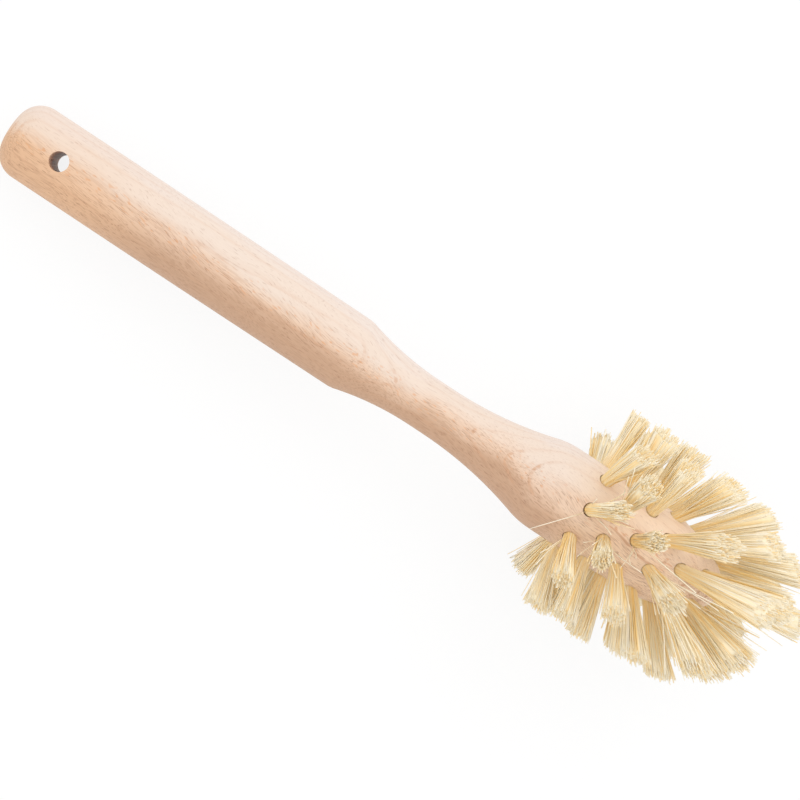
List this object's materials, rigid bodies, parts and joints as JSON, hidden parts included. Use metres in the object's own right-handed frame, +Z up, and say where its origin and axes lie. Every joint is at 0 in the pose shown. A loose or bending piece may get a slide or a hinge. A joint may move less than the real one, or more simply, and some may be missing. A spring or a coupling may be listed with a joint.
{
  "type": "dish brush",
  "caption": "Long round dish brush with a turned beech handle, a waisted neck, a hanging hole and a round head full of trimmed plant-fibre tufts.",
  "frame": {"origin": "on the table, under the middle of the brush's length and width", "axes": "+X along the brush from the butt to the head, +Z up; the brush lies as it rests, on its butt and on one tuft"},
  "size_m": [0.2819, 0.0664, 0.0682],
  "materials": {
    "beech": "smooth, unvarnished, fine dark flecks along the grain",
    "plant_fibre": "dry, matt, pale straw-coloured fibres",
    "staple_wire": "drawn flat wire"
  },
  "bodies": {
    "root": {"handle": "beech", "tuft_ring1_1": "plant_fibre", "tuft_ring1_2": "plant_fibre", "tuft_ring1_3": "plant_fibre", "tuft_ring1_4": "plant_fibre", "tuft_ring1_5": "plant_fibre", "tuft_ring1_6": "plant_fibre", "tuft_ring1_7": "plant_fibre", "tuft_ring1_8": "plant_fibre", "tuft_ring2_1": "plant_fibre", "tuft_ring2_2": "plant_fibre", "tuft_ring2_3": "plant_fibre", "tuft_ring2_4": "plant_fibre", "tuft_ring2_5": "plant_fibre", "tuft_ring2_6": "plant_fibre", "tuft_ring2_7": "plant_fibre", "tuft_ring2_8": "plant_fibre", "tuft_ring3_1": "plant_fibre", "tuft_ring3_2": "plant_fibre", "tuft_ring3_3": "plant_fibre", "tuft_ring3_4": "plant_fibre", "tuft_ring3_5": "plant_fibre", "tuft_ring3_6": "plant_fibre", "tuft_ring3_7": "plant_fibre", "tuft_ring3_8": "plant_fibre", "tuft_ring4_1": "plant_fibre", "tuft_ring4_2": "plant_fibre", "tuft_ring4_3": "plant_fibre", "tuft_ring4_4": "plant_fibre", "tuft_ring4_5": "plant_fibre", "tuft_ring4_6": "plant_fibre", "tuft_ring4_7": "plant_fibre", "tuft_ring4_8": "plant_fibre", "tuft_ring5_1": "plant_fibre", "tuft_ring5_2": "plant_fibre", "tuft_ring5_3": "plant_fibre", "tuft_ring5_4": "plant_fibre", "tuft_ring5_5": "plant_fibre", "tuft_ring5_6": "plant_fibre", "tuft_ring5_7": "plant_fibre", "tuft_ring5_8": "plant_fibre", "tuft_ring6_1": "plant_fibre", "tuft_ring6_2": "plant_fibre", "tuft_ring6_3": "plant_fibre", "tuft_ring6_4": "plant_fibre", "tuft_ring6_5": "plant_fibre", "tuft_ring6_6": "plant_fibre", "tuft_tip": "plant_fibre", "staple_tip": "staple_wire", "staples_ring1": "staple_wire", "staples_ring2": "staple_wire", "staples_ring3": "staple_wire", "staples_ring4": "staple_wire", "staples_ring5": "staple_wire", "staples_ring6": "staple_wire"}
  },
  "joints": []
}
